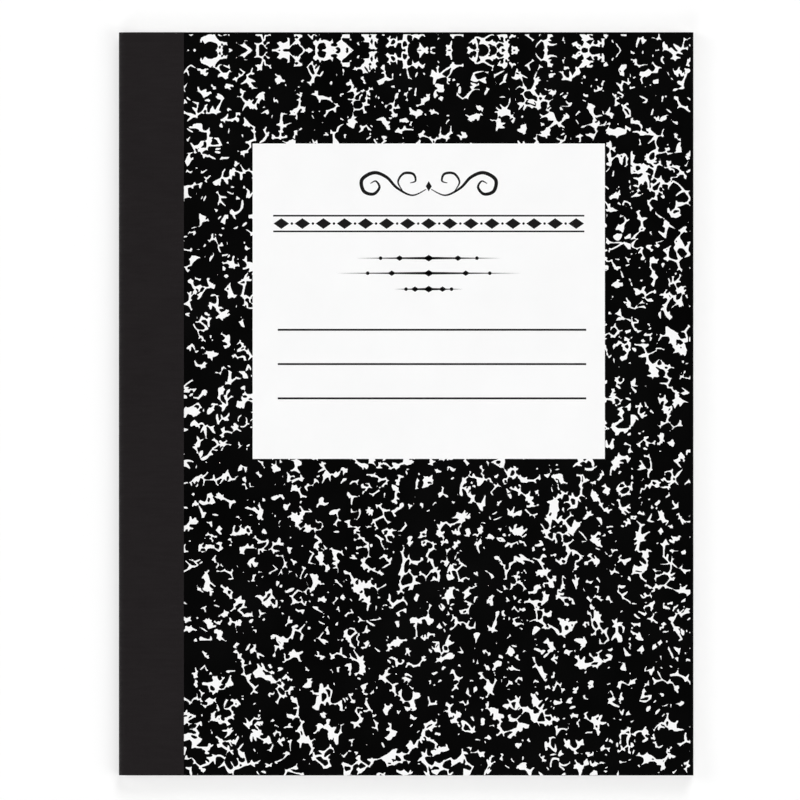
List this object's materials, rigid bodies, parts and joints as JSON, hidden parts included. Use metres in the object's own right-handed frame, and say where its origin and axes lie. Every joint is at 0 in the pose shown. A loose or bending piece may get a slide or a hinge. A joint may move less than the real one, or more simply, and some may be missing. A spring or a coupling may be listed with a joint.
{
  "type": "composition notebook",
  "caption": "Sewn composition notebook with marbled board covers, a dark cloth spine tape, a white title label with writing lines and a block of ruled leaves.",
  "frame": {"origin": "centre of the closed notebook's footprint, on the surface that it lies on", "axes": "+X from the spine to the fore-edge, +Y from the tail to the head, +Z from the back cover to the front cover"},
  "size_m": [0.191, 0.247, 0.0094],
  "materials": {
    "leaves": "uncoated white writing paper, ruled",
    "thread": "white sewing thread",
    "marbled_board": "pressboard with a black and white marbled print under a thin coating",
    "spine_tape": "charcoal bookbinding cloth tape",
    "label_paper": "smooth white paper",
    "printing_ink": "black printing ink"
  },
  "bodies": {
    "text_block": {"page_block": "leaves", "needle_thread": "thread", "bobbin_thread": "thread", "spine_tape": "spine_tape"},
    "front_cover": {"front_cover": "marbled_board", "title_label": "label_paper", "writing_lines": "printing_ink"},
    "back_cover": {"back_cover": "marbled_board"}
  },
  "joints": [
    {"name": "front_cover_hinge", "type": "hinge", "parent": "text_block", "child": "front_cover", "pos_m": [-0.0914, 0, 0.0089], "axis": [0, -1, 0], "range_deg": [0, 180], "deforming": ["spine_tape"]},
    {"name": "back_cover_hinge", "type": "hinge", "parent": "text_block", "child": "back_cover", "pos_m": [-0.0914, 0, 0.0005], "axis": [0, 1, 0], "range_deg": [0, 180], "deforming": ["spine_tape"]}
  ]
}
